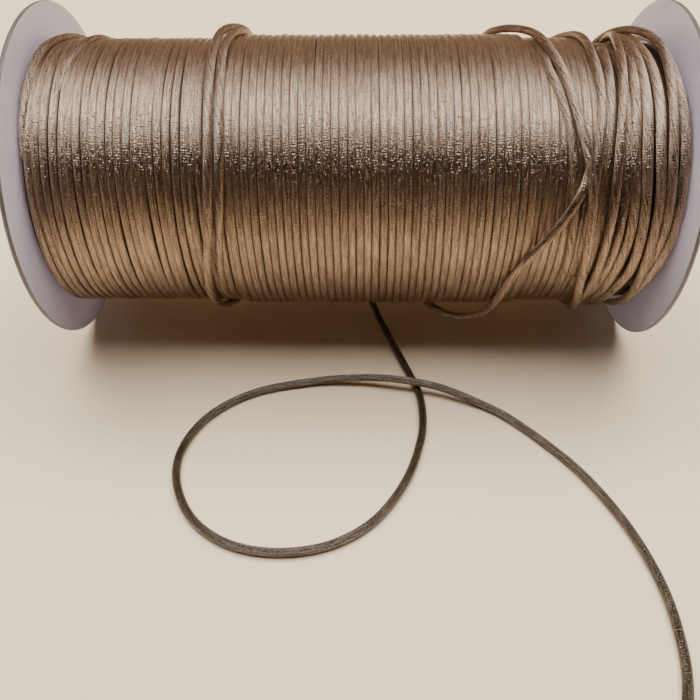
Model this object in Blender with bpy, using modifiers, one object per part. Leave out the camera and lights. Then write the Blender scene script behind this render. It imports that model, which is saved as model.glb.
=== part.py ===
"""A spool of two millimetre satin knotting cord, lying on its side.

The two flanges, each moulded with half of the hub, are pressed together inside the winding.
The winding is one solid of its wound form, with the slack strands that cross it.
The loose end leaves the underside and lies on the table in one open loop.

Frame: +X runs along the spool's axis, +Y points away from the viewer, +Z is up. The origin is
on the table, under the middle of the spool.
"""
import math

import bmesh
import bpy
from mathutils import Vector

MM = 0.001

# Driving dimensions
WINDING_SPACE = 160.0 * MM      # clear length between the two flanges
FLANGE_RADIUS = 44.7 * MM
AXIS_HEIGHT = 44.3 * MM         # a little under the radius, so each rim has a flat spot
HUB_RADIUS = 29.0 * MM          # outside of the hub that the cord is wound on
HUB_WALL = 1.8 * MM
CORD_DIAMETER = 2.1 * MM
GAP = 0.3 * MM                  # kept between neighbouring pieces

# Flange details
DISC_THICKNESS = 1.2 * MM
RIM_WIDTH = 1.3 * MM            # the bead around the rim
RIM_STEP = 0.25 * MM            # how far the bead stands off each face of the disc
BOSS_WIDTH = 2.2 * MM           # the raised ring around the spindle hole
FLANGE_STEPS = 72

# The wound form
LOWER_LAYER = 35.6 * MM         # radius over the last full layer
LOOSE_PITCH = 2.9 * MM          # spacing of the loose turns at the right end
LOOSE_TURNS = 6
LOOSE_START = 62.6 * MM         # place of the first loose turn along the axis
LOOSE_CREST = 36.1 * MM         # radius over a loose turn
LOOSE_VALLEY = 35.1 * MM        # radius in the gap between two of them
DRUM_STEPS = 60

STRAND_STEP = 5.0 * MM          # length of one straight piece of a strand's tube


def remove_everything():
    """Start from an empty file."""
    for thing in list(bpy.data.objects):
        bpy.data.objects.remove(thing, do_unlink=True)


def make_collection(name):
    """Add a collection to the scene."""
    collection = bpy.data.collections.new(name)
    bpy.context.scene.collection.children.link(collection)
    return collection


def make_material(name, colour, roughness, see_through=0.0):
    """A plain Principled material."""
    material = bpy.data.materials.new(name)
    material.use_nodes = True
    shader = material.node_tree.nodes["Principled BSDF"]
    shader.inputs["Base Color"].default_value = (*colour, 1.0)
    shader.inputs["Roughness"].default_value = roughness
    shader.inputs["Metallic"].default_value = 0.0
    shader.inputs["Transmission Weight"].default_value = see_through
    return material


def add_object(name, data, collection, material):
    """Link one named object and give it its material."""
    thing = bpy.data.objects.new(name, data)
    collection.objects.link(thing)
    data.materials.append(material)
    return thing


def turned(name, outline, steps, collection, material):
    """Turn a closed outline of (radius, height) points around the local Z axis."""
    mesh = bpy.data.meshes.new(name)
    points = [(radius, 0.0, height) for radius, height in outline]
    edges = [(place, (place + 1) % len(points)) for place in range(len(points))]
    mesh.from_pydata(points, edges, [])
    thing = add_object(name, mesh, collection, material)
    screw = thing.modifiers.new("turn", "SCREW")
    screw.axis = "Z"
    screw.angle = math.tau
    screw.steps = steps
    screw.render_steps = steps
    screw.use_merge_vertices = True
    screw.merge_threshold = 0.00001
    return thing


def cut_flat_spot(thing, cutters):
    """Take off what would reach below the table, which leaves the rim's flat spot."""
    mesh = bpy.data.meshes.new(thing.name + "_below_table")
    shape = bmesh.new()
    bmesh.ops.create_cube(shape, size=1.0)
    shape.to_mesh(mesh)
    shape.free()
    cutter = bpy.data.objects.new(mesh.name, mesh)
    cutters.objects.link(cutter)
    depth = 4 * MM
    cutter.scale = (20 * MM, 40 * MM, depth)
    cutter.location = (thing.location.x, 0.0, -depth / 2)
    cutter.hide_render = True
    cutter.display_type = "WIRE"
    flat = thing.modifiers.new("flat_spot", "BOOLEAN")
    flat.operation = "DIFFERENCE"
    flat.object = cutter


def flange(name, side, collection, cutters, material):
    """One moulded half of the spool: a thin disc with a rim bead, and its half of the hub.

    The outline's heights start at the disc's inner face and grow outward, away from the cord.
    """
    outer_face = DISC_THICKNESS
    bead_top = outer_face + RIM_STEP
    bead_inside = FLANGE_RADIUS - RIM_WIDTH
    bore = HUB_RADIUS - HUB_WALL
    boss = bore + BOSS_WIDTH + HUB_WALL
    hub_end = -(WINDING_SPACE - GAP) / 2
    slope = RIM_STEP
    outline = [
        (FLANGE_RADIUS, bead_top),
        (FLANGE_RADIUS, -RIM_STEP),
        (bead_inside, -RIM_STEP),
        (bead_inside - slope, 0.0),
        (HUB_RADIUS, 0.0),
        (HUB_RADIUS, hub_end),
        (bore, hub_end),
        (bore, bead_top),
        (boss, bead_top),
        (boss + slope, outer_face),
        (bead_inside - slope, outer_face),
        (bead_inside, bead_top),
    ]
    half = turned(name, outline, FLANGE_STEPS, collection, material)
    half.location = (side * WINDING_SPACE / 2, 0.0, AXIS_HEIGHT)
    half.rotation_euler = (0.0, side * math.pi / 2, 0.0)
    cut_flat_spot(half, cutters)
    return half


def drum_outline():
    """Closed outline of the wound form, as (radius, place along the axis) points."""
    end = WINDING_SPACE / 2 - GAP
    inside = HUB_RADIUS + GAP
    # place along the axis in mm, and height over the last full layer in mm; the part layer in
    # the middle is the higher stretch
    profile = [
        {"place": -78.2, "rise": -0.1},
        {"place": -62.0, "rise": 0.1},
        {"place": -48.0, "rise": -0.1},
        {"place": -35.0, "rise": 0.0},
        {"place": -33.0, "rise": 0.9},
        {"place": -12.0, "rise": 1.0},
        {"place": 8.0, "rise": 0.9},
        {"place": 26.0, "rise": 1.0},
        {"place": 38.0, "rise": 0.9},
        {"place": 42.0, "rise": 0.2},
        {"place": 54.0, "rise": 0.0},
        {"place": 60.6, "rise": 0.0},
    ]
    surface = [(LOWER_LAYER - 1.2 * MM, -end)]
    surface += [(LOWER_LAYER + row["rise"] * MM, row["place"] * MM) for row in profile]
    half_valley = 0.42 * LOOSE_PITCH
    shoulder = 0.24 * LOOSE_PITCH
    for turn in range(LOOSE_TURNS):
        place = LOOSE_START + turn * LOOSE_PITCH
        surface += [
            (LOOSE_VALLEY, place - half_valley),
            (LOOSE_CREST, place - shoulder),
            (LOOSE_CREST, place + shoulder),
            (LOOSE_VALLEY, place + half_valley),
        ]
    surface.append((LOOSE_VALLEY - 0.5 * MM, end))
    # the outline runs down the outer side, then back up the inside
    surface.reverse()
    return surface + [(inside, -end), (inside, end)]


# Slack strands. Each row gives the angle around the drum in degrees, from 0 on top through 90
# toward the viewer to 180 underneath, the place along the axis in mm, and the radius of the
# strand's centre in mm. The first and last rows are sunk under the neighbouring turns.
STRANDS = {
    "left_crossing": [
        {"angle": -42, "place": -25.2, "radius": 35.2},
        {"angle": -31, "place": -26.4, "radius": 36.9},
        {"angle": -22, "place": -28.8, "radius": 37.7},
        {"angle": -14, "place": -32.0, "radius": 37.9},
        {"angle": -5, "place": -34.0, "radius": 37.3},
        {"angle": 8, "place": -34.4, "radius": 36.8},
        {"angle": 34, "place": -34.5, "radius": 36.6},
        {"angle": 60, "place": -34.9, "radius": 36.6},
        {"angle": 87, "place": -35.4, "radius": 36.6},
        {"angle": 110, "place": -35.5, "radius": 36.7},
        {"angle": 130, "place": -35.8, "radius": 36.8},
        {"angle": 148, "place": -34.6, "radius": 36.5},
        {"angle": 164, "place": -33.8, "radius": 35.2},
    ],
    "top_crossing": [
        {"angle": -46, "place": 34.6, "radius": 35.2},
        {"angle": -33, "place": 35.8, "radius": 36.9},
        {"angle": -23, "place": 38.4, "radius": 37.6},
        {"angle": -14, "place": 42.4, "radius": 37.7},
        {"angle": -4, "place": 45.8, "radius": 37.5},
        {"angle": 8, "place": 47.8, "radius": 37.2},
        {"angle": 24, "place": 50.2, "radius": 37.0},
        {"angle": 42, "place": 52.8, "radius": 37.0},
        {"angle": 60, "place": 55.6, "radius": 37.3},
        {"angle": 74, "place": 57.0, "radius": 37.5},
        {"angle": 92, "place": 57.8, "radius": 37.4},
        {"angle": 110, "place": 58.7, "radius": 37.3},
        {"angle": 128, "place": 60.6, "radius": 37.5},
        {"angle": 144, "place": 62.4, "radius": 37.6},
        {"angle": 160, "place": 63.4, "radius": 36.9},
        {"angle": 174, "place": 63.8, "radius": 35.2},
    ],
    "hanging_turn": [
        {"angle": 60, "place": 56.4, "radius": 35.2},
        {"angle": 69, "place": 54.6, "radius": 36.8},
        {"angle": 79, "place": 51.4, "radius": 37.0},
        {"angle": 88, "place": 47.8, "radius": 37.1},
        {"angle": 97, "place": 43.8, "radius": 37.2},
        {"angle": 108, "place": 40.6, "radius": 37.5},
        {"angle": 121, "place": 38.8, "radius": 38.2},
        {"angle": 133, "place": 37.0, "radius": 39.3},
        {"angle": 142, "place": 33.8, "radius": 40.2},
        {"angle": 147, "place": 30.2, "radius": 40.4},
        {"angle": 150, "place": 26.8, "radius": 39.8},
        {"angle": 155, "place": 23.4, "radius": 38.3},
        {"angle": 164, "place": 20.6, "radius": 37.2},
        {"angle": 178, "place": 18.8, "radius": 35.2},
    ],
    "short_arc": [
        {"angle": -44, "place": 53.0, "radius": 34.0},
        {"angle": -31, "place": 54.4, "radius": 35.5},
        {"angle": -18, "place": 57.2, "radius": 36.1},
        {"angle": -4, "place": 58.2, "radius": 36.3},
        {"angle": 14, "place": 57.6, "radius": 36.3},
        {"angle": 34, "place": 56.4, "radius": 36.2},
        {"angle": 52, "place": 56.6, "radius": 36.0},
        {"angle": 68, "place": 58.4, "radius": 34.4},
    ],
    "end_arc": [
        {"angle": -48, "place": 62.8, "radius": 34.0},
        {"angle": -34, "place": 64.4, "radius": 36.3},
        {"angle": -23, "place": 68.2, "radius": 37.5},
        {"angle": -14, "place": 72.4, "radius": 37.8},
        {"angle": -5, "place": 75.4, "radius": 37.6},
        {"angle": 8, "place": 76.4, "radius": 37.3},
        {"angle": 24, "place": 76.0, "radius": 36.9},
        {"angle": 46, "place": 75.7, "radius": 36.6},
        {"angle": 72, "place": 76.0, "radius": 36.6},
        {"angle": 98, "place": 75.6, "radius": 36.8},
        {"angle": 120, "place": 74.2, "radius": 37.4},
        {"angle": 138, "place": 73.0, "radius": 37.7},
        {"angle": 156, "place": 72.8, "radius": 36.8},
        {"angle": 170, "place": 73.0, "radius": 34.4},
    ],
}

# The loose end's route in mm, from the back of the winding's underside to the cut end. It
# passes over itself once, where it closes the loop.
LOOSE_END_ROUTE = [
    (0.2, 19.5, 11.6),
    (1.0, 13.0, 8.3),
    (2.2, 6.0, 6.6),
    (3.7, -1.0, 5.9),
    (5.6, -8.0, 5.4),
    (7.8, -14.5, 4.1),
    (10.3, -20.5, 2.4),
    (12.8, -27.0, 1.3),
    (15.9, -36.6, 1.1),
    (17.9, -43.2, 1.1),
    (18.7, -51.5, 1.1),
    (17.7, -62.0, 1.1),
    (13.3, -75.5, 1.1),
    (5.6, -87.3, 1.1),
    (-4.6, -94.3, 1.1),
    (-16.8, -96.4, 1.1),
    (-28.2, -93.9, 1.1),
    (-37.2, -86.9, 1.1),
    (-42.6, -76.0, 1.1),
    (-43.0, -64.9, 1.1),
    (-37.6, -53.2, 1.1),
    (-26.4, -44.4, 1.1),
    (-10.6, -40.4, 1.6),
    (1.0, -40.2, 2.7),
    (9.5, -41.3, 3.5),
    (17.4, -43.0, 3.7),
    (25.0, -45.0, 3.1),
    (34.3, -49.0, 1.6),
    (40.5, -53.2, 1.1),
    (48.2, -61.6, 1.1),
    (56.4, -73.0, 1.1),
    (63.2, -88.2, 1.1),
    (66.6, -104.0, 1.1),
    (66.3, -118.5, 1.1),
    (63.9, -128.6, 1.1),
    (59.6, -138.0, 1.1),
    (53.0, -146.0, 1.1),
    (44.8, -151.8, 1.1),
]
LOOSE_END_PIECES = 79


def smooth_points(points, count):
    """Evenly spaced points on a smooth curve through the given ones.

    The curve is made of Hermite pieces whose tangents follow the neighbouring points.
    """
    places = [Vector(point) for point in points]
    last = len(places) - 1
    dense = []
    for start in range(last):
        first, second = places[start], places[start + 1]
        before = places[max(start - 1, 0)]
        after = places[min(start + 2, last)]
        leave = (second - before) / 2
        arrive = (after - first) / 2
        for step in range(12):
            part = step / 12
            square, cube = part ** 2, part ** 3
            dense.append(
                first * (2 * cube - 3 * square + 1)
                + leave * (cube - 2 * square + part)
                + second * (3 * square - 2 * cube)
                + arrive * (cube - square)
            )
    dense.append(places[last])
    travelled = [0.0]
    for start in range(len(dense) - 1):
        travelled.append(travelled[-1] + (dense[start + 1] - dense[start]).length)
    even = []
    here = 0
    for step in range(count + 1):
        target = travelled[-1] * step / count
        while here < len(dense) - 2 and travelled[here + 1] < target:
            here += 1
        span = travelled[here + 1] - travelled[here]
        even.append(dense[here].lerp(dense[here + 1], (target - travelled[here]) / span))
    return even


def around_drum(row):
    """A strand's row as a point in the part's frame."""
    angle = math.radians(row["angle"])
    radius = row["radius"] * MM
    return Vector((
        row["place"] * MM,
        -radius * math.sin(angle),
        AXIS_HEIGHT + radius * math.cos(angle),
    ))


def cord_tube(name, points, collection, material):
    """A length of cord: a poly curve with a round bevel and filled caps."""
    curve = bpy.data.curves.new(name, "CURVE")
    curve.dimensions = "3D"
    curve.bevel_depth = CORD_DIAMETER / 2
    curve.bevel_resolution = 2
    curve.use_fill_caps = True
    spline = curve.splines.new("POLY")
    spline.points.add(len(points) - 1)
    for point, place in zip(spline.points, points):
        point.co = (*place, 1.0)
    return add_object(name, curve, collection, material)


def as_mesh(thing):
    """Swap a beveled curve for a closed mesh of the same shape."""
    view_layer = bpy.context.view_layer
    view_layer.update()
    shown = thing.evaluated_get(bpy.context.evaluated_depsgraph_get())
    mesh = bpy.data.meshes.new_from_object(shown)
    shape = bmesh.new()
    shape.from_mesh(mesh)
    bmesh.ops.remove_doubles(shape, verts=shape.verts, dist=0.00001)
    shape.to_mesh(mesh)
    shape.free()
    solid = bpy.data.objects.new(thing.name, mesh)
    solid.matrix_world = thing.matrix_world
    for collection in thing.users_collection:
        collection.objects.link(solid)
    bpy.data.objects.remove(thing, do_unlink=True)
    return solid


def winding(collection, cutters, material):
    """The wound cord: the drum's form with its slack strands joined on."""
    drum = turned("winding", drum_outline(), DRUM_STEPS, collection, material)
    # the outline is turned around Z, so the turned solid is laid along the spool's axis
    drum.location = (0.0, 0.0, AXIS_HEIGHT)
    drum.rotation_euler = (0.0, math.pi / 2, 0.0)
    for name, rows in STRANDS.items():
        route = [around_drum(row) for row in rows]
        length = sum((end - start).length for start, end in zip(route, route[1:]))
        points = smooth_points(route, round(length / STRAND_STEP))
        strand = as_mesh(cord_tube(name, points, cutters, material))
        strand.hide_render = True
        strand.display_type = "WIRE"
        joined = drum.modifiers.new(name, "BOOLEAN")
        joined.operation = "UNION"
        joined.object = strand
    return drum


def loose_end(collection, material):
    """The free end of the cord, on the table."""
    route = [Vector(point) * MM for point in LOOSE_END_ROUTE]
    return cord_tube("loose_end", smooth_points(route, LOOSE_END_PIECES), collection, material)


def main():
    """Build the whole spool."""
    remove_everything()
    parts = make_collection("spool_of_satin_knotting_cord")
    cutters = make_collection("cutters")
    frosted = make_material("frosted_plastic", (0.47, 0.43, 0.46), 0.45, see_through=0.35)
    satin = make_material("taupe_satin", (0.24, 0.15, 0.09), 0.35)
    flange("flange_left", -1, parts, cutters, frosted)
    flange("flange_right", 1, parts, cutters, frosted)
    winding(parts, cutters, satin)
    loose_end(parts, satin)


main()
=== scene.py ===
"""A spool of two millimetre satin knotting cord, lying on its side on a pale table.

Lengths are in metres, written as millimetres times MM. The spool's axis runs along X at the height
of AXIS_HEIGHT, the viewer is on the side of -Y, and the table is at zero height. An angle around
the spool is 0 on top, 90 on the viewer's side and 180 underneath.
"""
import math

import bmesh
import bpy
from mathutils import Matrix, Vector, noise


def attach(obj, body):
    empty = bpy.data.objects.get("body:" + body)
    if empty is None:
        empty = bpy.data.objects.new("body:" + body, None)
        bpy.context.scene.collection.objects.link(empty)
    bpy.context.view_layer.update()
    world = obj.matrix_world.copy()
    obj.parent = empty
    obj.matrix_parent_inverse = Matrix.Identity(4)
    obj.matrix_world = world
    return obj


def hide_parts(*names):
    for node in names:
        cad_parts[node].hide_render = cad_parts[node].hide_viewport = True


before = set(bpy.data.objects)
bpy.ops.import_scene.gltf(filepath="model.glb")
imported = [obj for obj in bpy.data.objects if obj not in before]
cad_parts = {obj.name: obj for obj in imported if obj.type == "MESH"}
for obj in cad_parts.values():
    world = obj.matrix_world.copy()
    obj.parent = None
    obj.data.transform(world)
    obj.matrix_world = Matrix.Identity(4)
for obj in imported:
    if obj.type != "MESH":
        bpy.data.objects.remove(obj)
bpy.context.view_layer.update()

# Camera
# It looks down at the spool from the front, 40 degrees below the horizontal, from 24 centimetres.
MM = 0.001
CAMERA_PLACE = (1.9 * MM, -195.4 * MM, 143.0 * MM)
CAMERA_TURN = math.radians(0.965)
CAMERA_RISE = math.radians(50.0)
CAMERA_ROLL = math.radians(-0.41)
camera_lens = bpy.data.cameras.new("camera")
camera_lens.sensor_width = 36.0
camera_lens.lens = 38.7
camera_lens.clip_start = 10 * MM
camera = bpy.data.objects.new("camera", camera_lens)
bpy.context.scene.collection.objects.link(camera)
camera.matrix_world = (
    Matrix.Translation(CAMERA_PLACE)
    @ Matrix.Rotation(CAMERA_TURN, 4, "Z")
    @ Matrix.Rotation(CAMERA_RISE, 4, "X")
    @ Matrix.Rotation(CAMERA_ROLL, 4, "Z")
)
bpy.context.scene.camera = camera


# Loose end of the cord
# The real cord is a tube of fine satin filaments laid lengthwise over a soft core. Its free end
# slips out from under the winding, lies on the table in one open loop, crosses over itself once
# and runs off to the right.
AXIS_HEIGHT = 44.3 * MM
CORD_DIAMETER = 2.1 * MM
# the route in mm, from the back of the winding's underside to the cut end
LOOSE_END_ROUTE = [
    (0.2, 19.5, 11.6),
    (1.0, 13.0, 8.3),
    (2.2, 6.0, 6.6),
    (3.7, -1.0, 5.9),
    (5.6, -8.0, 5.4),
    (7.8, -14.5, 4.1),
    (10.3, -20.5, 2.4),
    (12.8, -27.0, 1.3),
    (15.9, -36.6, 1.1),
    (17.9, -43.2, 1.1),
    (18.7, -51.5, 1.1),
    (17.7, -62.0, 1.1),
    (13.3, -75.5, 1.1),
    (5.6, -87.3, 1.1),
    (-4.6, -94.3, 1.1),
    (-16.8, -96.4, 1.1),
    (-28.2, -93.9, 1.1),
    (-37.2, -86.9, 1.1),
    (-42.6, -76.0, 1.1),
    (-43.0, -64.9, 1.1),
    (-37.6, -53.2, 1.1),
    (-26.4, -44.4, 1.1),
    (-10.6, -40.4, 1.6),
    (1.0, -40.2, 2.7),
    (9.5, -41.3, 3.5),
    (17.4, -43.0, 3.7),
    (25.0, -45.0, 3.1),
    (34.3, -49.0, 1.6),
    (40.5, -53.2, 1.1),
    (48.2, -61.6, 1.1),
    (56.4, -73.0, 1.1),
    (63.2, -88.2, 1.1),
    (66.6, -104.0, 1.1),
    (66.3, -118.5, 1.1),
    (63.9, -128.6, 1.1),
    (59.6, -138.0, 1.1),
    (53.0, -146.0, 1.1),
    (44.8, -151.8, 1.1),
]


def even_route(points, spacing):
    """Evenly spaced points on a smooth curve through the given ones."""
    steps = 24
    last = len(points) - 1
    dense = []
    for start in range(last):
        first, second = points[start], points[start + 1]
        before = points[max(start - 1, 0)]
        after = points[min(start + 2, last)]
        leave = (second - before) / 2
        arrive = (after - first) / 2
        for step in range(steps):
            part = step / steps
            square, cube = part ** 2, part ** 3
            dense.append(
                first * (2 * cube - 3 * square + 1)
                + leave * (cube - 2 * square + part)
                + second * (3 * square - 2 * cube)
                + arrive * (cube - square)
            )
    dense.append(points[last])
    travelled = [0.0]
    for before, after in zip(dense, dense[1:]):
        travelled.append(travelled[-1] + (after - before).length)
    count = round(travelled[-1] / spacing)
    even = []
    here = 0
    for step in range(count + 1):
        target = travelled[-1] * step / count
        while here < len(dense) - 2 and travelled[here + 1] < target:
            here += 1
        span = travelled[here + 1] - travelled[here]
        even.append(dense[here].lerp(dense[here + 1], (target - travelled[here]) / span))
    return even


def cord_outline(half_width, half_height, squareness, sides):
    """The cord's cross-section as (sideways, outward) points, starting underneath.

    At squareness 2 it is round or oval. A larger number gives the fuller shoulders of a cord that
    is pressed between its neighbours.
    """
    outline = []
    for side in range(sides):
        turn = math.tau * side / sides
        sideways = -math.sin(turn)
        outward = -math.cos(turn)
        outline.append((
            math.copysign(abs(sideways) ** (2 / squareness), sideways) * half_width,
            math.copysign(abs(outward) ** (2 / squareness), outward) * half_height,
        ))
    return outline


def satin_tube(name, centres, outward, outline, swell):
    """A closed tube of cord along its centres, with a UV map in mm along and around the cord.

    outward is the direction of the cross-section's top at each centre, and swell scales the
    cross-section there.
    """
    sides = len(outline)
    around = [0.0]
    for side in range(sides):
        start, end = outline[side], outline[(side + 1) % sides]
        around.append(around[-1] + math.dist(start, end) / MM)
    shape = bmesh.new()
    run = shape.loops.layers.uv.new("cord_run")
    rings = []
    travelled = []
    for place, centre in enumerate(centres):
        ahead = centres[min(place + 1, len(centres) - 1)]
        behind = centres[max(place - 1, 0)]
        direction = (ahead - behind).normalized()
        sideways = direction.cross(outward[place]).normalized()
        top = sideways.cross(direction)
        rings.append([
            shape.verts.new(centre + swell[place] * (sideways * across + top * up))
            for across, up in outline
        ])
        step = (centre - centres[place - 1]).length / MM if place else 0.0
        travelled.append(travelled[-1] + step if travelled else 0.0)
    for place in range(len(rings) - 1):
        near, far = rings[place], rings[place + 1]
        for side in range(sides):
            after = (side + 1) % sides
            face = shape.faces.new((near[side], near[after], far[after], far[side]))
            face.smooth = True
            corners = (
                (travelled[place], around[side]),
                (travelled[place], around[side + 1]),
                (travelled[place + 1], around[side + 1]),
                (travelled[place + 1], around[side]),
            )
            for corner, position in zip(face.loops, corners):
                corner[run].uv = position
    shape.faces.new(tuple(reversed(rings[0])))
    shape.faces.new(tuple(rings[-1]))
    bmesh.ops.recalc_face_normals(shape, faces=shape.faces)
    mesh = bpy.data.meshes.new(name)
    shape.to_mesh(mesh)
    shape.free()
    tube = bpy.data.objects.new(name, mesh)
    bpy.context.scene.collection.objects.link(tube)
    return tube


def new_finish(name):
    """An empty node material with its Principled shader and its node tree."""
    finish = bpy.data.materials.new(name)
    finish.use_nodes = True
    tree = finish.node_tree
    return finish, tree, tree.nodes["Principled BSDF"]


def add_node(tree, kind, **settings):
    """A node with its settings made."""
    node = tree.nodes.new(kind)
    for name, value in settings.items():
        setattr(node, name, value)
    return node


def add_noise(tree, place, stretch, scale, detail=2.0, roughness=0.5):
    """A noise texture on stretched coordinates."""
    mapping = add_node(tree, "ShaderNodeMapping")
    mapping.inputs["Scale"].default_value = stretch
    tree.links.new(place, mapping.inputs["Vector"])
    grain = add_node(tree, "ShaderNodeTexNoise")
    grain.inputs["Scale"].default_value = scale
    grain.inputs["Detail"].default_value = detail
    grain.inputs["Roughness"].default_value = roughness
    tree.links.new(mapping.outputs["Vector"], grain.inputs["Vector"])
    return grain.outputs["Fac"]


def add_ramp(tree, value, stops):
    """A colour ramp through (position, colour) stops."""
    ramp = add_node(tree, "ShaderNodeValToRGB")
    first, last = ramp.color_ramp.elements[0], ramp.color_ramp.elements[1]
    first.position, first.color = stops[0][0], (*stops[0][1], 1.0)
    last.position, last.color = stops[-1][0], (*stops[-1][1], 1.0)
    for position, colour in stops[1:-1]:
        middle = ramp.color_ramp.elements.new(position)
        middle.color = (*colour, 1.0)
    tree.links.new(value, ramp.inputs["Fac"])
    return ramp.outputs["Color"]


def add_blend(tree, parts):
    """The sum of (value, share) parts."""
    total = None
    for value, share in parts:
        node = add_node(tree, "ShaderNodeMath", operation="MULTIPLY_ADD")
        tree.links.new(value, node.inputs[0])
        node.inputs[1].default_value = share
        node.inputs[2].default_value = 0.0
        if total is not None:
            tree.links.new(total, node.inputs[2])
        total = node.outputs["Value"]
    return total


SATIN_ROUGHNESS = 0.37
FILAMENT_DEPTH = 0.10 * MM
# from the cord's underside around to its top, in the millimetres of its UV map, and the shares of
# this way between which its side goes over into its back; the painted seam shade fades out between
# them
HALF_WAY_AROUND = 3.25
SIDE_ENDS = 0.52
BACK_BEGINS = 0.74


def satin_finish(name, shades, slant=0.0, seam_painted_shade=1.0):
    """Satin cord in three shades: painted shade in the hollows between its filaments, lighter on
    their backs, and a tone that differs at random.

    Fine filaments run along the cord, at a slant in degrees where it is twisted, and shine across
    it. The braid that holds them shows as short dashes and crosswise ribs. The last argument is
    how much of the colour is left on the sides, where a wound turn is pressed against the next:
    painted shade in the seam.
    """
    finish, tree, satin = new_finish(name)
    cord_run = add_node(tree, "ShaderNodeUVMap", uv_map="cord_run").outputs["UV"]
    slanted = add_node(tree, "ShaderNodeMapping")
    slanted.inputs["Rotation"].default_value = (0.0, 0.0, math.radians(slant))
    tree.links.new(cord_run, slanted.inputs["Vector"])
    filament_run = slanted.outputs["Vector"]
    filaments = add_noise(tree, filament_run, (0.16, 2.4, 1.0), 1.0, detail=2.0, roughness=0.6)
    fine_filaments = add_noise(tree, filament_run, (0.5, 7.0, 1.0), 1.0, detail=0.0)
    braid = add_noise(tree, cord_run, (2.3, 2.6, 1.0), 1.0, detail=0.0)
    dye = add_noise(tree, cord_run, (0.012, 0.05, 1.0), 1.0, detail=2.0)
    ribs = add_node(tree, "ShaderNodeTexWave", bands_direction="X", wave_profile="SIN")
    ribs.inputs["Scale"].default_value = 0.52
    ribs.inputs["Distortion"].default_value = 2.5
    ribs.inputs["Detail"].default_value = 0.0
    ribs.inputs["Detail Scale"].default_value = 1.2
    tree.links.new(cord_run, ribs.inputs["Vector"])
    # painted shade: the same noises that shape the relief make the colour darkest in its hollows
    shade = add_blend(
        tree, [(filaments, 0.45), (fine_filaments, 0.15), (dye, 0.15), (braid, 0.25)]
    )
    colour = add_ramp(tree, shade, [(0.38, shades[0]), (0.50, shades[1]), (0.62, shades[2])])
    # painted shade: the colour is darkened on the cord's sides, in the seam between two wound
    # turns
    around = add_node(tree, "ShaderNodeSeparateXYZ")
    tree.links.new(cord_run, around.inputs["Vector"])
    above_underside = add_node(tree, "ShaderNodeMath", operation="PINGPONG")
    above_underside.inputs[1].default_value = HALF_WAY_AROUND
    tree.links.new(around.outputs["Y"], above_underside.inputs[0])
    painted_seam_darkening = add_node(tree, "ShaderNodeMapRange", interpolation_type="SMOOTHSTEP")
    painted_seam_darkening.inputs["From Min"].default_value = SIDE_ENDS * HALF_WAY_AROUND
    painted_seam_darkening.inputs["From Max"].default_value = BACK_BEGINS * HALF_WAY_AROUND
    painted_seam_darkening.inputs["To Min"].default_value = seam_painted_shade
    painted_seam_darkening.inputs["To Max"].default_value = 1.0
    tree.links.new(above_underside.outputs["Value"], painted_seam_darkening.inputs["Value"])
    shaded = add_node(tree, "ShaderNodeVectorMath", operation="SCALE")
    tree.links.new(colour, shaded.inputs["Vector"])
    tree.links.new(painted_seam_darkening.outputs["Result"], shaded.inputs["Scale"])
    tree.links.new(shaded.outputs["Vector"], satin.inputs["Base Color"])
    relief = add_blend(
        tree, [(filaments, 1.2), (fine_filaments, 0.5), (braid, 1.5), (ribs.outputs["Fac"], 0.24)]
    )
    bump = add_node(tree, "ShaderNodeBump")
    bump.inputs["Strength"].default_value = 1.0
    bump.inputs["Distance"].default_value = FILAMENT_DEPTH
    tree.links.new(relief, bump.inputs["Height"])
    tree.links.new(bump.outputs["Normal"], satin.inputs["Normal"])
    along = add_node(tree, "ShaderNodeTangent", direction_type="UV_MAP", uv_map="cord_run")
    tree.links.new(along.outputs["Tangent"], satin.inputs["Tangent"])
    satin.inputs["Metallic"].default_value = 1.0
    satin.inputs["Anisotropic"].default_value = 0.95
    satin.inputs["Anisotropic Rotation"].default_value = 0.25 + slant / 360
    satin.inputs["Roughness"].default_value = SATIN_ROUGHNESS
    satin.inputs["Sheen Weight"].default_value = 0.30
    satin.inputs["Sheen Roughness"].default_value = 0.5
    satin.inputs["Sheen Tint"].default_value = (0.75, 0.50, 0.33, 1.0)
    return finish


# the free end is the same cord, its colour painted darker as shade, so it shines less than the
# wound turns
painted_shade_loose_satin = satin_finish(
    "painted_shade_loose_satin",
    [(0.035, 0.028, 0.021), (0.110, 0.092, 0.072), (0.240, 0.210, 0.172)],
)

# a ring of the mesh every 0.8 mm along the cord, and none of it under the table
loose_centres = even_route([Vector(point) * MM for point in LOOSE_END_ROUTE], 0.8 * MM)
for point in loose_centres:
    point.z = max(point.z, CORD_DIAMETER / 2)
loose_outward = [Vector((0.0, 0.0, 1.0))] * len(loose_centres)
# the filaments are drawn together at both cut ends
END_SHARES = (0.55, 0.85, 0.97)
loose_swell = [1.0] * len(loose_centres)
for place, share in enumerate(END_SHARES):
    loose_swell[place] = share
    loose_swell[-1 - place] = share
loose_end = satin_tube(
    "loose_end_cord",
    loose_centres,
    loose_outward,
    cord_outline(CORD_DIAMETER / 2, CORD_DIAMETER / 2 * 0.97, 2.0, 14),
    loose_swell,
)
loose_end.data.materials.append(painted_shade_loose_satin)
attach(loose_end, "root")
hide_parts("loose_end")


# Wound turns
# The cord is wound turn beside turn in layers. The last full layer shows at the left and under
# the loose turns at the right, and a part layer lies over it in the middle. Each turn settles
# against the one before, so the turns lean and swell a little.
TURN_STEPS = 84
TURN_OUTLINE = cord_outline(0.985 * MM, 0.98 * MM, 2.7, 12)
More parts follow.
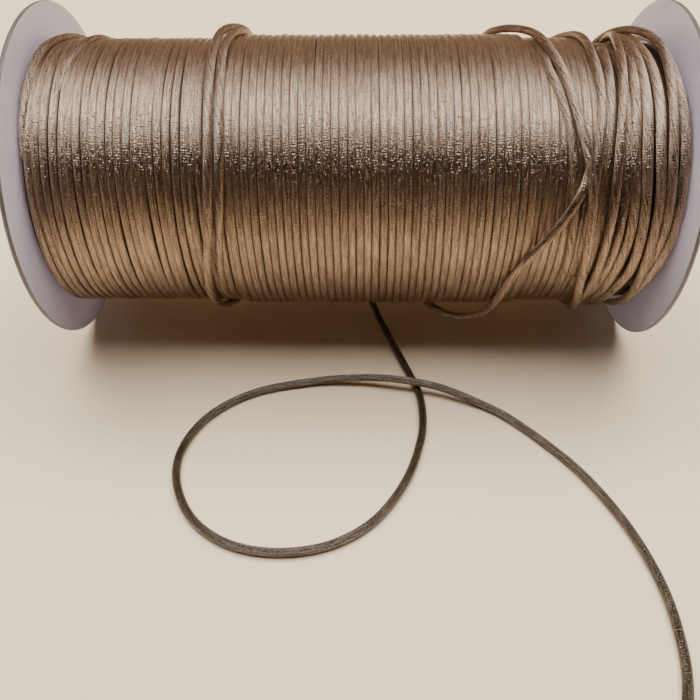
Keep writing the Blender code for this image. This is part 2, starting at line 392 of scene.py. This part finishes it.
# a turn wanders slowly and quickly: how much of its lean it then moves sideways, and how fast the
# wander changes from turn to turn and around a turn
SLOW_WANDER = {"share": 1.6, "by_turn": 0.45, "around": 0.9}
QUICK_WANDER = {"share": 0.35, "by_turn": 1.7, "around": 1.6}
HEIGHT_WANDER = 0.16 * MM
SWELLING = 0.08

# the wound turns' sides are painted darker as shade in the seams between them
taupe_satin = satin_finish(
    "taupe_satin",
    [(0.188, 0.136, 0.094), (0.395, 0.297, 0.217), (0.625, 0.500, 0.391)],
    seam_painted_shade=0.18,
)
# light hardly gets down to a layer that is covered by others, so its satin is painted darker as
# shade
painted_shade_satin = satin_finish(
    "painted_shade_satin",
    [(0.030, 0.020, 0.014), (0.080, 0.056, 0.040), (0.160, 0.120, 0.090)],
)

# each stretch of turns from one place along the spool to another, in mm; lean is how far a turn
# wanders sideways, and row picks another stretch of the wander
WOUND_TURNS = {
    "turns_left": {
        "first": -78.7, "last": -28.0, "pitch": 1.92, "radius": 34.60, "lean": 0.42, "row": 0.0,
        "finish": taupe_satin,
    },
    "turns_middle": {
        "first": -30.8, "last": 43.4, "pitch": 1.93, "radius": 35.45, "lean": 0.14, "row": 40.0,
        "finish": taupe_satin,
    },
    "turns_right": {
        "first": 39.0, "last": 60.2, "pitch": 1.93, "radius": 34.55, "lean": 0.20, "row": 80.0,
        "finish": taupe_satin,
    },
    "turns_under_loose": {
        "first": 60.0, "last": 78.8, "pitch": 1.95, "radius": 33.25, "lean": 0.20, "row": 120.0,
        "finish": painted_shade_satin,
    },
}


def around_winding(angle, place, radius):
    """A point at an angle around the spool, a place along it and a radius, in metres."""
    return Vector((place, -radius * math.sin(angle), AXIS_HEIGHT + radius * math.cos(angle)))


def outward_at(angle):
    """The direction away from the spool's axis."""
    return Vector((0.0, -math.sin(angle), math.cos(angle)))


def wander_at(wander, turn, angle, row):
    """The place in the noise that one point of a turn wanders by."""
    return Vector((
        wander["by_turn"] * turn + row,
        wander["around"] * math.cos(angle),
        wander["around"] * math.sin(angle),
    ))


def wound_turns(name, stretch):
    """Turns of cord side by side, beginning underneath, as one closed tube."""
    first, last = stretch["first"] * MM, stretch["last"] * MM
    lean = stretch["lean"] * MM
    count = round((last - first) / (stretch["pitch"] * MM))
    centres = []
    outward = []
    swell = []
    for step in range(count * TURN_STEPS + 1):
        turn = step / TURN_STEPS
        angle = math.pi + turn * math.tau
        slow = wander_at(SLOW_WANDER, turn, angle, stretch["row"])
        quick = wander_at(QUICK_WANDER, turn, angle, stretch["row"])
        place = first + (last - first) * turn / count
        place += lean * noise.noise(slow) * SLOW_WANDER["share"]
        place += lean * noise.noise(quick) * QUICK_WANDER["share"]
        in_and_out = HEIGHT_WANDER * noise.noise(quick + Vector((0.0, 0.0, 7.0)))
        centres.append(around_winding(angle, place, stretch["radius"] * MM + in_and_out))
        outward.append(outward_at(angle))
        swell.append(1.0 + SWELLING * noise.noise(quick + Vector((0.0, 9.0, 0.0))))
    turns = satin_tube(name, centres, outward, TURN_OUTLINE, swell)
    turns.data.materials.append(stretch["finish"])
    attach(turns, "root")
    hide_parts("winding")


for stretch_name, stretch in WOUND_TURNS.items():
    wound_turns(stretch_name, stretch)


# Loose turns at the right end
# The last turns were put back on the spool by hand, so they lie wider apart than they were wound
# and the layer beneath, its satin painted darker as shade, shows between them.
LOOSE_ANGLES = (0, 16, 36, 55, 73, 89, 104, 120, 145)
# each row gives one turn's places along the spool in mm at these angles, and how far it lies
# below its neighbours
LOOSE_PLACES = [
    {"sunk": 1.3, "places": (62.7, 62.0, 61.4, 60.9, 60.6, 60.4, 60.2, 60.0, 60.4)},
    {"sunk": 0.4, "places": (69.2, 67.7, 67.0, 66.7, 67.6, 67.9, 67.1, 66.2, 65.4)},
    {"sunk": 0.0, "places": (69.0, 69.3, 69.5, 69.4, 70.1, 70.7, 70.6, 68.8, 67.0)},
    {"sunk": 0.0, "places": (71.0, 72.0, 72.5, 72.5, 73.4, 73.6, 73.9, 74.5, 73.6)},
    {"sunk": 0.2, "places": (76.4, 76.9, 77.9, 78.4, 78.4, 78.2, 76.9, 75.6, 74.6)},
]
# radii in mm; below a turn's front the cord sags away from the winding
LOOSE_RADIUS = 35.75
LOOSE_SAG = 0.4
SAG_BEGINS = 100
# behind the spool, how much of the way to the next turn is done at these angles
LOOSE_BACKS = ((210, 0.35), (280, 0.7))
LOOSE_OUTLINE = cord_outline(1.24 * MM, 0.92 * MM, 2.0, 12)


def eased(rows, key, angle):
    """One column of a strand's rows at any angle, smoothly between the rows."""
    last = len(rows) - 1
    here = 0
    while here < last - 1 and rows[here + 1]["angle"] < angle:
        here += 1
    first, second = rows[here], rows[here + 1]
    before, after = rows[max(here - 1, 0)], rows[min(here + 2, last)]
    span = second["angle"] - first["angle"]
    part = min(max((angle - first["angle"]) / span, 0.0), 1.0)
    leave = (second[key] - before[key]) / (second["angle"] - before["angle"]) * span
    arrive = (after[key] - first[key]) / (after["angle"] - first["angle"]) * span
    square, cube = part ** 2, part ** 3
    return (
        first[key] * (2 * cube - 3 * square + 1)
        + leave * (cube - 2 * square + part)
        + second[key] * (3 * square - 2 * cube)
        + arrive * (cube - square)
    )


# a slack turn twists a little, so its filaments lie slantwise and part in places, with painted
# shade in the partings
slack_satin = satin_finish(
    "slack_satin",
    [(0.090, 0.064, 0.044), (0.380, 0.285, 0.208), (0.620, 0.500, 0.395)],
    slant=14.0,
)


def strand(name, rows, outline, step):
    """A strand of cord around the winding, through rows of angle, place and radius.

    step is the angle in degrees from one ring of its mesh to the next.
    """
    count = round((rows[-1]["angle"] - rows[0]["angle"]) / step)
    centres = []
    outward = []
    swell = []
    for point in range(count + 1):
        degrees = rows[0]["angle"] + (rows[-1]["angle"] - rows[0]["angle"]) * point / count
        angle = math.radians(degrees)
        place = eased(rows, "place", degrees) * MM
        radius = eased(rows, "radius", degrees) * MM
        centres.append(around_winding(angle, place, radius))
        outward.append(outward_at(angle))
        swell.append(1.0 + 0.06 * noise.noise(Vector((degrees / 40, place / MM, 3.0))))
    tube = satin_tube(name, centres, outward, outline, swell)
    tube.data.materials.append(slack_satin)
    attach(tube, "root")
    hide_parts("winding")


loose_rows = []
for number, row in enumerate(LOOSE_PLACES):
    for angle, place in zip(LOOSE_ANGLES, row["places"]):
        sag = LOOSE_SAG if angle > SAG_BEGINS else 0.0
        loose_rows.append({
            "angle": angle + 360 * number,
            "place": place,
            "radius": LOOSE_RADIUS + sag - row["sunk"],
        })
    if number < len(LOOSE_PLACES) - 1:
        ending = row["places"][-1]
        following = LOOSE_PLACES[number + 1]["places"][0]
        for angle, share in LOOSE_BACKS:
            loose_rows.append({
                "angle": angle + 360 * number,
                "place": ending + (following - ending) * share,
                "radius": LOOSE_RADIUS,
            })
strand("turns_loose", loose_rows, LOOSE_OUTLINE, 4.0)


# Slack strands
# A few turns have slipped out of their places. They cross the winding, stand off it where they
# turn over the top and hang a little below it, and each goes back under its neighbours.
SLACK_OUTLINE = cord_outline(1.10 * MM, 0.99 * MM, 2.0, 12)
# angles in degrees, and places along the spool and radii in mm, along each strand
SLACK_STRANDS = {
    "strand_by_left_flange": [
        {"angle": -40, "place": -71.2, "radius": 34.0},
        {"angle": -30, "place": -72.6, "radius": 35.1},
        {"angle": -20, "place": -74.0, "radius": 35.7},
        {"angle": -10, "place": -75.6, "radius": 35.9},
        {"angle": 0, "place": -77.0, "radius": 36.0},
        {"angle": 10, "place": -77.9, "radius": 36.0},
        {"angle": 20, "place": -78.2, "radius": 35.8},
        {"angle": 32, "place": -78.4, "radius": 35.4},
        {"angle": 45, "place": -78.5, "radius": 34.8},
        {"angle": 58, "place": -78.5, "radius": 34.0},
    ],
    "strand_near_left_flange": [
        {"angle": -34, "place": -65.0, "radius": 33.9},
        {"angle": -24, "place": -66.0, "radius": 34.9},
        {"angle": -14, "place": -67.0, "radius": 35.5},
        {"angle": -4, "place": -68.3, "radius": 35.6},
        {"angle": 6, "place": -69.5, "radius": 35.5},
        {"angle": 18, "place": -70.6, "radius": 35.0},
        {"angle": 32, "place": -71.4, "radius": 34.0},
    ],
    "strand_left_crossing": [
        {"angle": -38, "place": -28.4, "radius": 35.0},
        {"angle": -29, "place": -28.5, "radius": 36.8},
        {"angle": -21, "place": -29.6, "radius": 37.8},
        {"angle": -13, "place": -31.8, "radius": 38.2},
        {"angle": -5, "place": -33.4, "radius": 38.0},
        {"angle": 4, "place": -34.2, "radius": 37.4},
        {"angle": 17, "place": -34.4, "radius": 37.0},
        {"angle": 36, "place": -34.2, "radius": 37.0},
        {"angle": 55, "place": -34.0, "radius": 37.0},
        {"angle": 73, "place": -34.6, "radius": 37.0},
        {"angle": 88, "place": -35.5, "radius": 37.0},
        {"angle": 109, "place": -37.2, "radius": 36.9},
        {"angle": 122, "place": -37.9, "radius": 36.9},
        {"angle": 136, "place": -37.6, "radius": 37.0},
        {"angle": 148, "place": -36.2, "radius": 36.8},
        {"angle": 158, "place": -34.2, "radius": 36.1},
        {"angle": 170, "place": -33.0, "radius": 34.6},
    ],
    "strand_under_crossing": [
        {"angle": -34, "place": -27.6, "radius": 34.8},
        {"angle": -22, "place": -28.6, "radius": 36.4},
        {"angle": -12, "place": -30.0, "radius": 37.1},
        {"angle": -4, "place": -31.1, "radius": 37.2},
        {"angle": 3, "place": -31.8, "radius": 37.0},
        {"angle": 12, "place": -32.0, "radius": 36.8},
        {"angle": 24, "place": -31.8, "radius": 36.6},
        {"angle": 38, "place": -31.6, "radius": 36.7},
        {"angle": 55, "place": -31.4, "radius": 36.7},
        {"angle": 73, "place": -32.0, "radius": 36.2},
        {"angle": 86, "place": -32.8, "radius": 35.6},
        {"angle": 99, "place": -33.6, "radius": 35.3},
        {"angle": 112, "place": -34.1, "radius": 35.3},
        {"angle": 126, "place": -34.2, "radius": 35.2},
        {"angle": 146, "place": -34.0, "radius": 34.2},
    ],
    "strand_top_crossing": [
        {"angle": -46, "place": 34.6, "radius": 35.2},
        {"angle": -33, "place": 35.8, "radius": 36.9},
        {"angle": -23, "place": 38.4, "radius": 37.6},
        {"angle": -14, "place": 42.4, "radius": 37.7},
        {"angle": -4, "place": 45.8, "radius": 37.5},
        {"angle": 8, "place": 47.8, "radius": 37.2},
        {"angle": 24, "place": 50.2, "radius": 37.0},
        {"angle": 42, "place": 52.8, "radius": 37.0},
        {"angle": 60, "place": 55.6, "radius": 37.3},
        {"angle": 74, "place": 57.0, "radius": 37.5},
        {"angle": 92, "place": 57.8, "radius": 37.4},
        {"angle": 110, "place": 58.7, "radius": 37.3},
        {"angle": 128, "place": 60.6, "radius": 37.5},
        {"angle": 144, "place": 62.4, "radius": 37.6},
        {"angle": 160, "place": 63.4, "radius": 36.9},
        {"angle": 174, "place": 63.8, "radius": 35.2},
    ],
    "strand_beside_crossing": [
        {"angle": -20, "place": 46.4, "radius": 34.4},
        {"angle": 0, "place": 46.8, "radius": 35.2},
        {"angle": 17, "place": 47.1, "radius": 35.5},
        {"angle": 27, "place": 48.5, "radius": 35.5},
        {"angle": 36, "place": 49.9, "radius": 35.6},
        {"angle": 48, "place": 51.5, "radius": 35.6},
        {"angle": 65, "place": 52.8, "radius": 35.6},
        {"angle": 84, "place": 53.8, "radius": 35.5},
        {"angle": 104, "place": 54.4, "radius": 35.4},
        {"angle": 124, "place": 54.8, "radius": 34.6},
    ],
    "strand_hanging_turn": [
        {"angle": 60, "place": 56.4, "radius": 35.2},
        {"angle": 69, "place": 54.6, "radius": 36.8},
        {"angle": 79, "place": 51.4, "radius": 37.0},
        {"angle": 88, "place": 47.8, "radius": 37.1},
        {"angle": 97, "place": 43.8, "radius": 37.2},
        {"angle": 108, "place": 40.6, "radius": 37.5},
        {"angle": 121, "place": 38.8, "radius": 38.2},
        {"angle": 133, "place": 37.0, "radius": 39.3},
        {"angle": 142, "place": 33.8, "radius": 40.2},
        {"angle": 147, "place": 30.2, "radius": 40.4},
        {"angle": 150, "place": 26.8, "radius": 39.8},
        {"angle": 155, "place": 23.4, "radius": 38.3},
        {"angle": 164, "place": 20.6, "radius": 37.2},
        {"angle": 178, "place": 18.8, "radius": 35.2},
    ],
    "strand_short_arc": [
        {"angle": -44, "place": 53.0, "radius": 34.0},
        {"angle": -31, "place": 54.4, "radius": 35.5},
        {"angle": -18, "place": 57.2, "radius": 36.1},
        {"angle": -4, "place": 58.2, "radius": 36.3},
        {"angle": 14, "place": 58.4, "radius": 36.3},
        {"angle": 36, "place": 58.8, "radius": 36.2},
        {"angle": 55, "place": 58.1, "radius": 36.1},
        {"angle": 73, "place": 57.2, "radius": 35.6},
        {"angle": 90, "place": 57.0, "radius": 35.2},
        {"angle": 110, "place": 57.2, "radius": 34.6},
    ],
    "strand_hump": [
        {"angle": -36, "place": 67.6, "radius": 34.0},
        {"angle": -26, "place": 67.7, "radius": 35.2},
        {"angle": -18, "place": 67.5, "radius": 35.9},
        {"angle": -10, "place": 66.9, "radius": 36.3},
        {"angle": -3, "place": 66.2, "radius": 36.4},
        {"angle": 5, "place": 65.6, "radius": 36.4},
        {"angle": 17, "place": 64.9, "radius": 36.5},
        {"angle": 36, "place": 63.7, "radius": 36.3},
        {"angle": 55, "place": 62.7, "radius": 36.2},
        {"angle": 73, "place": 62.5, "radius": 36.2},
        {"angle": 89, "place": 62.4, "radius": 36.2},
        {"angle": 110, "place": 62.2, "radius": 36.4},
        {"angle": 130, "place": 61.6, "radius": 36.6},
        {"angle": 155, "place": 60.8, "radius": 35.4},
    ],
    "strand_in_gap": [
        {"angle": 0, "place": 64.9, "radius": 33.4},
        {"angle": 20, "place": 65.2, "radius": 34.2},
        {"angle": 40, "place": 65.4, "radius": 34.4},
        {"angle": 60, "place": 65.5, "radius": 34.5},
        {"angle": 78, "place": 65.3, "radius": 35.0},
        {"angle": 89, "place": 65.2, "radius": 35.4},
        {"angle": 99, "place": 65.0, "radius": 35.5},
        {"angle": 110, "place": 64.4, "radius": 35.5},
        {"angle": 125, "place": 63.6, "radius": 35.5},
        {"angle": 145, "place": 62.8, "radius": 34.2},
    ],
    "strand_end_arc": [
        {"angle": -44, "place": 65.8, "radius": 33.8},
        {"angle": -34, "place": 66.4, "radius": 35.0},
        {"angle": -26, "place": 67.4, "radius": 36.0},
        {"angle": -18, "place": 69.1, "radius": 37.0},
        {"angle": -10, "place": 71.6, "radius": 37.6},
        {"angle": -2, "place": 73.9, "radius": 37.6},
        {"angle": 6, "place": 75.2, "radius": 37.4},
        {"angle": 14, "place": 75.5, "radius": 37.1},
        {"angle": 24, "place": 75.4, "radius": 36.8},
        {"angle": 36, "place": 75.3, "radius": 36.6},
        {"angle": 55, "place": 75.2, "radius": 36.4},
        {"angle": 73, "place": 75.7, "radius": 36.2},
        {"angle": 86, "place": 75.9, "radius": 35.8},
        {"angle": 100, "place": 75.6, "radius": 35.2},
        {"angle": 120, "place": 74.6, "radius": 34.4},
    ],
}
for strand_name, strand_rows in SLACK_STRANDS.items():
    strand(strand_name, strand_rows, SLACK_OUTLINE, 2.0)


# Bed of the winding
# The deeper layers are hidden, so they are one closed sleeve of cord around the hub. It shows only
# at the bottom of a gap, its colour painted dark as shade, and its ridges follow the turns above
# with painted shade between them.
BED_INSIDE = 29.3 * MM
BED_OUTSIDE = 33.6 * MM
BED_LENGTH = 159.0 * MM
RIDGE_WIDTH = 1.93 * MM
bpy.ops.object.select_all(action="DESELECT")
bpy.ops.mesh.primitive_cylinder_add(
    vertices=96,
    radius=BED_OUTSIDE,
    depth=BED_LENGTH,
    end_fill_type="NGON",
    location=(0.0, 0.0, AXIS_HEIGHT),
    rotation=(0.0, math.pi / 2, 0.0),
)
bed = bpy.context.object
bed.name = "bed_of_cord"
bed.data.name = "bed_of_cord"
bpy.ops.object.transform_apply(location=True, rotation=True, scale=True)


def select_faces(piece, wanted):
    """In edit mode, select the faces whose centre and normal pass the test, and no others."""
    shape = bmesh.from_edit_mesh(piece.data)
    for face in shape.faces:
        face.select_set(wanted(face.calc_center_median(), face.normal))
    shape.select_flush_mode()
    bmesh.update_edit_mesh(piece.data)


bpy.ops.object.mode_set(mode="EDIT")
bpy.ops.mesh.select_mode(type="FACE")
select_faces(bed, lambda centre, normal: abs(normal.x) > 0.9)
bpy.ops.mesh.inset(thickness=BED_OUTSIDE - BED_INSIDE, use_even_offset=False)
bpy.ops.mesh.bridge_edge_loops()
bpy.ops.object.mode_set(mode="OBJECT")
bpy.ops.object.shade_smooth_by_angle(angle=math.radians(40))

cord_in_painted_shade, depth_tree, depth_shader = new_finish("cord_in_painted_shade")
depth_place = add_node(depth_tree, "ShaderNodeTexCoord").outputs["Object"]
ridges = add_node(depth_tree, "ShaderNodeTexWave", bands_direction="X", wave_profile="SIN")
# at scale 1 the wave texture has 20 waves in tau metres
ridges.inputs["Scale"].default_value = math.tau / 20 / RIDGE_WIDTH
ridges.inputs["Distortion"].default_value = 0.4
depth_tree.links.new(depth_place, ridges.inputs["Vector"])
# painted shade: far darker than the cord, darkest between the ridges
depth_colour = add_ramp(depth_tree, ridges.outputs["Fac"], [
    (0.0, (0.030, 0.016, 0.009)),
    (1.0, (0.160, 0.090, 0.050)),
])
depth_tree.links.new(depth_colour, depth_shader.inputs["Base Color"])
depth_shader.inputs["Roughness"].default_value = 0.6
bed.data.materials.append(cord_in_painted_shade)
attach(bed, "root")
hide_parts("winding")


# Flanges
# Each end of the spool is one moulding of frosted plastic: a thin disc with a bead around its rim
# and a raised ring around the spindle hole, and half of the hub, which is pressed into the other
# half inside the winding. The rim has a flat spot where the spool lies on the table.
FLANGE_RADIUS = 44.7 * MM
INNER_FACE = 80.0 * MM
DISC_THICKNESS = 1.2 * MM
RIM_WIDTH = 1.3 * MM
RIM_STEP = 0.25 * MM
INNER_STEP = 0.06 * MM
# how far the mould rounds the rim on the cord's side and on the outside
RIM_ROUNDINGS = {-1: 0.2 * MM, 1: 1.1 * MM}
HUB_RADIUS = 29.0 * MM
# half of the hair gap where the two halves of the hub meet
HUB_END = 0.15 * MM
BORE_RADIUS = 27.2 * MM
BOSS_RADIUS = 31.2 * MM

# frosted plastic: slightly see-through, with a fine matt grain and a faint mottle
frosted_plastic, frosted_tree, frosted = new_finish("frosted_plastic")
frosted_place = add_node(frosted_tree, "ShaderNodeTexCoord").outputs["Object"]
mottle = add_noise(frosted_tree, frosted_place, (1.0, 1.0, 1.0), 70.0, detail=3.0)
frost_grain = add_noise(frosted_tree, frosted_place, (1.0, 1.0, 1.0), 1500.0, detail=2.0)
frosted_colour = add_ramp(frosted_tree, mottle, [
    (0.30, (0.700, 0.680, 0.840)),
    (0.70, (0.760, 0.740, 0.890)),
])
frosted_tree.links.new(frosted_colour, frosted.inputs["Base Color"])
frosted_bump = add_node(frosted_tree, "ShaderNodeBump")
frosted_bump.inputs["Strength"].default_value = 0.25
frosted_bump.inputs["Distance"].default_value = 0.05 * MM
frosted_tree.links.new(frost_grain, frosted_bump.inputs["Height"])
frosted_tree.links.new(frosted_bump.outputs["Normal"], frosted.inputs["Normal"])
frosted.inputs["Roughness"].default_value = 0.45
frosted.inputs["IOR"].default_value = 1.49
frosted.inputs["Transmission Weight"].default_value = 0.35

# the rim's edge is the same plastic, seen through the whole width of the disc; its colour is
# painted dark as shade
frosted_edge_painted_shade, edge_tree, edge_shader = new_finish("frosted_edge_painted_shade")
edge_place = add_node(edge_tree, "ShaderNodeTexCoord").outputs["Object"]
edge_mottle = add_noise(edge_tree, edge_place, (1.0, 1.0, 1.0), 90.0)
edge_colour = add_ramp(edge_tree, edge_mottle, [
    (0.30, (0.110, 0.098, 0.080)),
    (0.70, (0.160, 0.145, 0.120)),
])
edge_tree.links.new(edge_colour, edge_shader.inputs["Base Color"])
edge_shader.inputs["Roughness"].default_value = 0.35
edge_shader.inputs["IOR"].default_value = 1.49
edge_shader.inputs["Transmission Weight"].default_value = 0.3


def moulded_flange(name, node, side):
    """One flange with its half of the hub, at the left for side -1 and at the right for 1."""
    full = DISC_THICKNESS + RIM_STEP + INNER_STEP
    middle = INNER_FACE - INNER_STEP + full / 2
    bpy.ops.object.select_all(action="DESELECT")
    bpy.ops.mesh.primitive_cylinder_add(
        vertices=160,
        radius=FLANGE_RADIUS,
        depth=full,
        end_fill_type="NGON",
        location=(side * middle, 0.0, AXIS_HEIGHT),
        rotation=(0.0, math.pi / 2, 0.0),
    )
    piece = bpy.context.object
    piece.name = name
    piece.data.name = name
    bpy.ops.object.transform_apply(location=True, rotation=True, scale=True)

    def from_axis(point):
        return math.hypot(point.y, point.z - AXIS_HEIGHT)

    bpy.ops.object.mode_set(mode="EDIT")
    bpy.ops.mesh.select_mode(type="FACE")
    # the inner face: inside the rim's bead it steps down to the disc, and the hub stands on it
    select_faces(piece, lambda centre, normal: normal.x * side < -0.9)
    bpy.ops.mesh.inset(thickness=RIM_WIDTH, depth=0.0, use_even_offset=False)
    bpy.ops.mesh.inset(thickness=RIM_STEP, depth=-INNER_STEP, use_even_offset=False)
    bpy.ops.mesh.inset(
        thickness=FLANGE_RADIUS - RIM_WIDTH - RIM_STEP - HUB_RADIUS,
        use_even_offset=False,
    )
    bpy.ops.mesh.extrude_region_move(
        TRANSFORM_OT_translate={"value": (-side * (INNER_FACE - HUB_END), 0.0, 0.0)},
    )
    bpy.ops.mesh.inset(thickness=HUB_RADIUS - BORE_RADIUS, use_even_offset=False)
    # the outer face: the same bead, then the raised ring around the spindle hole
    select_faces(piece, lambda centre, normal: normal.x * side > 0.9)
    bpy.ops.mesh.inset(thickness=RIM_WIDTH, depth=0.0, use_even_offset=False)
    bpy.ops.mesh.inset(thickness=RIM_STEP, depth=-RIM_STEP, use_even_offset=False)
    bpy.ops.mesh.inset(
        thickness=FLANGE_RADIUS - RIM_WIDTH - RIM_STEP - BOSS_RADIUS - RIM_STEP,
        use_even_offset=False,
    )
    bpy.ops.mesh.inset(thickness=RIM_STEP, depth=RIM_STEP, use_even_offset=False)
    bpy.ops.mesh.inset(thickness=BOSS_RADIUS - BORE_RADIUS, use_even_offset=False)
    # the spindle hole joins the two middles
    select_faces(piece, lambda centre, normal: abs(normal.x) > 0.9 and from_axis(centre) < 1 * MM)
    bpy.ops.mesh.bridge_edge_loops()
    for away, rounding in RIM_ROUNDINGS.items():
        shape = bmesh.from_edit_mesh(piece.data)
        for edge in shape.edges:
            radii = [from_axis(vert.co) for vert in edge.verts]
            from_middle = [(vert.co.x * side - middle) * away for vert in edge.verts]
            edge.select_set(min(radii) > FLANGE_RADIUS - 0.05 * MM and min(from_middle) > 0.5 * MM)
        bmesh.update_edit_mesh(piece.data)
        bpy.ops.mesh.bevel(offset=rounding, segments=5, affect="EDGES")
    # the flat spot that it rests on
    bpy.ops.mesh.select_all(action="SELECT")
    bpy.ops.mesh.bisect(
        plane_co=(0.0, 0.0, 0.0),
        plane_no=(0.0, 0.0, 1.0),
        use_fill=True,
        clear_inner=True,
        clear_outer=False,
        threshold=0.001 * MM,
    )
    bpy.ops.mesh.select_all(action="SELECT")
    bpy.ops.mesh.normals_make_consistent(inside=False)
    bpy.ops.object.mode_set(mode="OBJECT")
    bpy.ops.object.shade_smooth_by_angle(angle=math.radians(32))
    piece.data.materials.append(frosted_plastic)
    piece.data.materials.append(frosted_edge_painted_shade)
    # the faces of the rim's edge take the colour painted dark as shade
    for face in piece.data.polygons:
        face.material_index = 1 if from_axis(face.center) > FLANGE_RADIUS - 0.25 * MM else 0
    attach(piece, "root")
    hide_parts(node)


moulded_flange("frosted_flange_left", "flange_left", -1)
moulded_flange("frosted_flange_right", "flange_right", 1)


# Table, light and air
# A plain cream table top stands in a dim warm room. Soft rectangular lights hang over and behind
# the spool.
TABLE_SIZE = 4.0
bpy.ops.object.select_all(action="DESELECT")
bpy.ops.mesh.primitive_plane_add(size=TABLE_SIZE, location=(0.0, 0.0, 0.0))
table = bpy.context.object
table.name = "table_top"
cream_table, table_tree, table_shader = new_finish("cream_table")
table_place = add_node(table_tree, "ShaderNodeTexCoord").outputs["Object"]
table_tone = add_noise(table_tree, table_place, (1.0, 1.0, 1.0), 3.0)
table_colour = add_ramp(table_tree, table_tone, [
    (0.30, (0.880, 0.760, 0.555)),
    (0.70, (0.900, 0.780, 0.575)),
])
table_tree.links.new(table_colour, table_shader.inputs["Base Color"])
table_shader.inputs["Roughness"].default_value = 0.7
table.data.materials.append(cream_table)

# each light's size along and across the spool, its middle across the spool and its power in watts;
# the fill lights the table and the plastic and casts the soft shadow, and the shine is what the
# satin mirrors
LIGHT_HEIGHT = 1.0
WARM_WHITE = (1.0, 0.90, 0.80)
COOL_WHITE = (1.0, 0.98, 1.0)
SOFT_LIGHTS = {
    "fill_behind": {
        "length": 1.8, "width": 0.50, "middle": 0.55, "power": 23.5, "colour": WARM_WHITE,
    },
    "fill_overhead": {
        "length": 1.8, "width": 0.70, "middle": -0.05, "power": 14.7, "colour": WARM_WHITE,
    },
    "shine_overhead": {
        "length": 1.6, "width": 0.70, "middle": -0.10, "power": 53.0, "colour": COOL_WHITE,
    },
}
for light_name, light in SOFT_LIGHTS.items():
    soft_light = bpy.data.lights.new(light_name, "AREA")
    soft_light.shape = "RECTANGLE"
    soft_light.size = light["length"]
    soft_light.size_y = light["width"]
    soft_light.energy = light["power"]
    soft_light.color = light["colour"]
    hung = bpy.data.objects.new(light_name, soft_light)
    hung.location = (0.0, light["middle"], LIGHT_HEIGHT)
    hung.visible_glossy = light_name.startswith("shine")
    hung.visible_diffuse = light_name.startswith("fill")
    hung.visible_transmission = light_name.startswith("fill")
    bpy.context.scene.collection.objects.link(hung)

# a dark brown card stands where the viewer does, and the cord mirrors it as its dark band; the
# camera doesn't see it
CARD_WIDTH = 320 * MM
# its edges and folds from the top down to the strip on the table, as places across the spool and
# heights, one for each row of the grid that it is made of
CARD_EDGES = [
    (-126 * MM, 226 * MM),
    (-200 * MM, 110 * MM),
    (-178 * MM, 1 * MM),
    (-125 * MM, 0.4 * MM),
]
bpy.ops.object.select_all(action="DESELECT")
bpy.ops.mesh.primitive_grid_add(x_subdivisions=1, y_subdivisions=3, size=1.0)
dark_card = bpy.context.object
dark_card.name = "dark_card"
for vert in dark_card.data.vertices:
    place, height = CARD_EDGES[round(1.5 - 3 * vert.co.y)]
    vert.co = (vert.co.x * CARD_WIDTH, place, height)
dark_card.visible_camera = False
dark_card.visible_diffuse = False
dark_card.visible_shadow = False
brown_felt, felt_tree, felt_shader = new_finish("brown_felt")
felt_shader.inputs["Base Color"].default_value = (0.030, 0.014, 0.010, 1.0)
felt_shader.inputs["Roughness"].default_value = 0.9
dark_card.data.materials.append(brown_felt)

# the room is dark on the viewer's side and paler behind the spool
room = bpy.data.worlds.new("dim_room")
room.use_nodes = True
room_tree = room.node_tree
direction = add_node(room_tree, "ShaderNodeTexCoord").outputs["Generated"]
split = add_node(room_tree, "ShaderNodeSeparateXYZ")
room_tree.links.new(direction, split.inputs["Vector"])
room_light = add_ramp(room_tree, split.outputs["Y"], [
    (0.0, (0.022, 0.018, 0.015)),
    (0.6, (0.340, 0.236, 0.160)),
])
room_tree.links.new(room_light, room_tree.nodes["Background"].inputs["Color"])
bpy.context.scene.world = room
